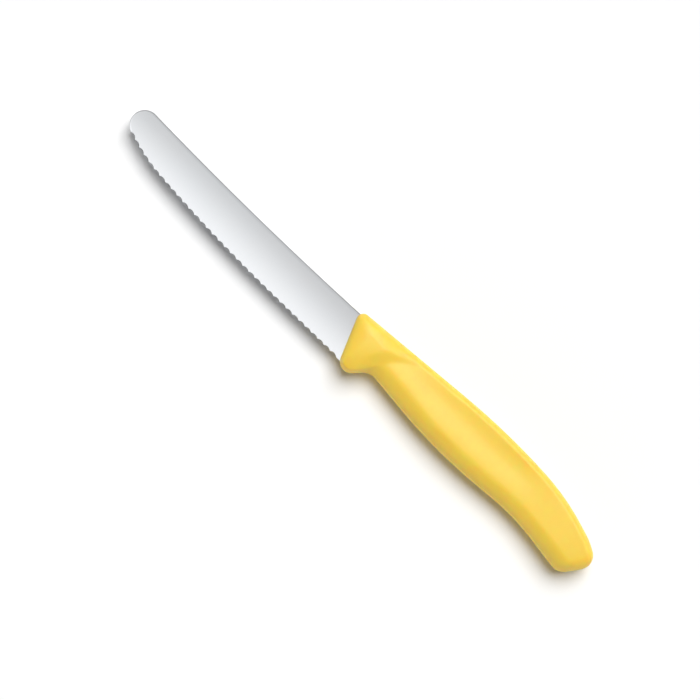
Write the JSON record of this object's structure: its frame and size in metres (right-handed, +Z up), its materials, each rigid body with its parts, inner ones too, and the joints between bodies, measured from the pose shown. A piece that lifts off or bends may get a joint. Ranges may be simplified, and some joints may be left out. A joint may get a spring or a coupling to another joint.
{
  "type": "tomato knife",
  "caption": "Small tomato knife with a round-tipped blade, a scalloped edge and a yellow moulded grip",
  "frame": {"origin": "On the supporting surface, under the middle of the knife's bounding box", "axes": "+X runs from the tip to the butt, +Y from the edge to the spine, +Z up through the left face; the knife lies on its right side"},
  "size_m": [0.2211, 0.0232, 0.013],
  "materials": {
    "blade_steel": "satin ground flats, with fine grinding lines from spine to edge",
    "handle_plastic": "fine matt moulded polypropylene"
  },
  "bodies": {
    "root": {"blade": "blade_steel", "handle": "handle_plastic"}
  },
  "joints": []
}
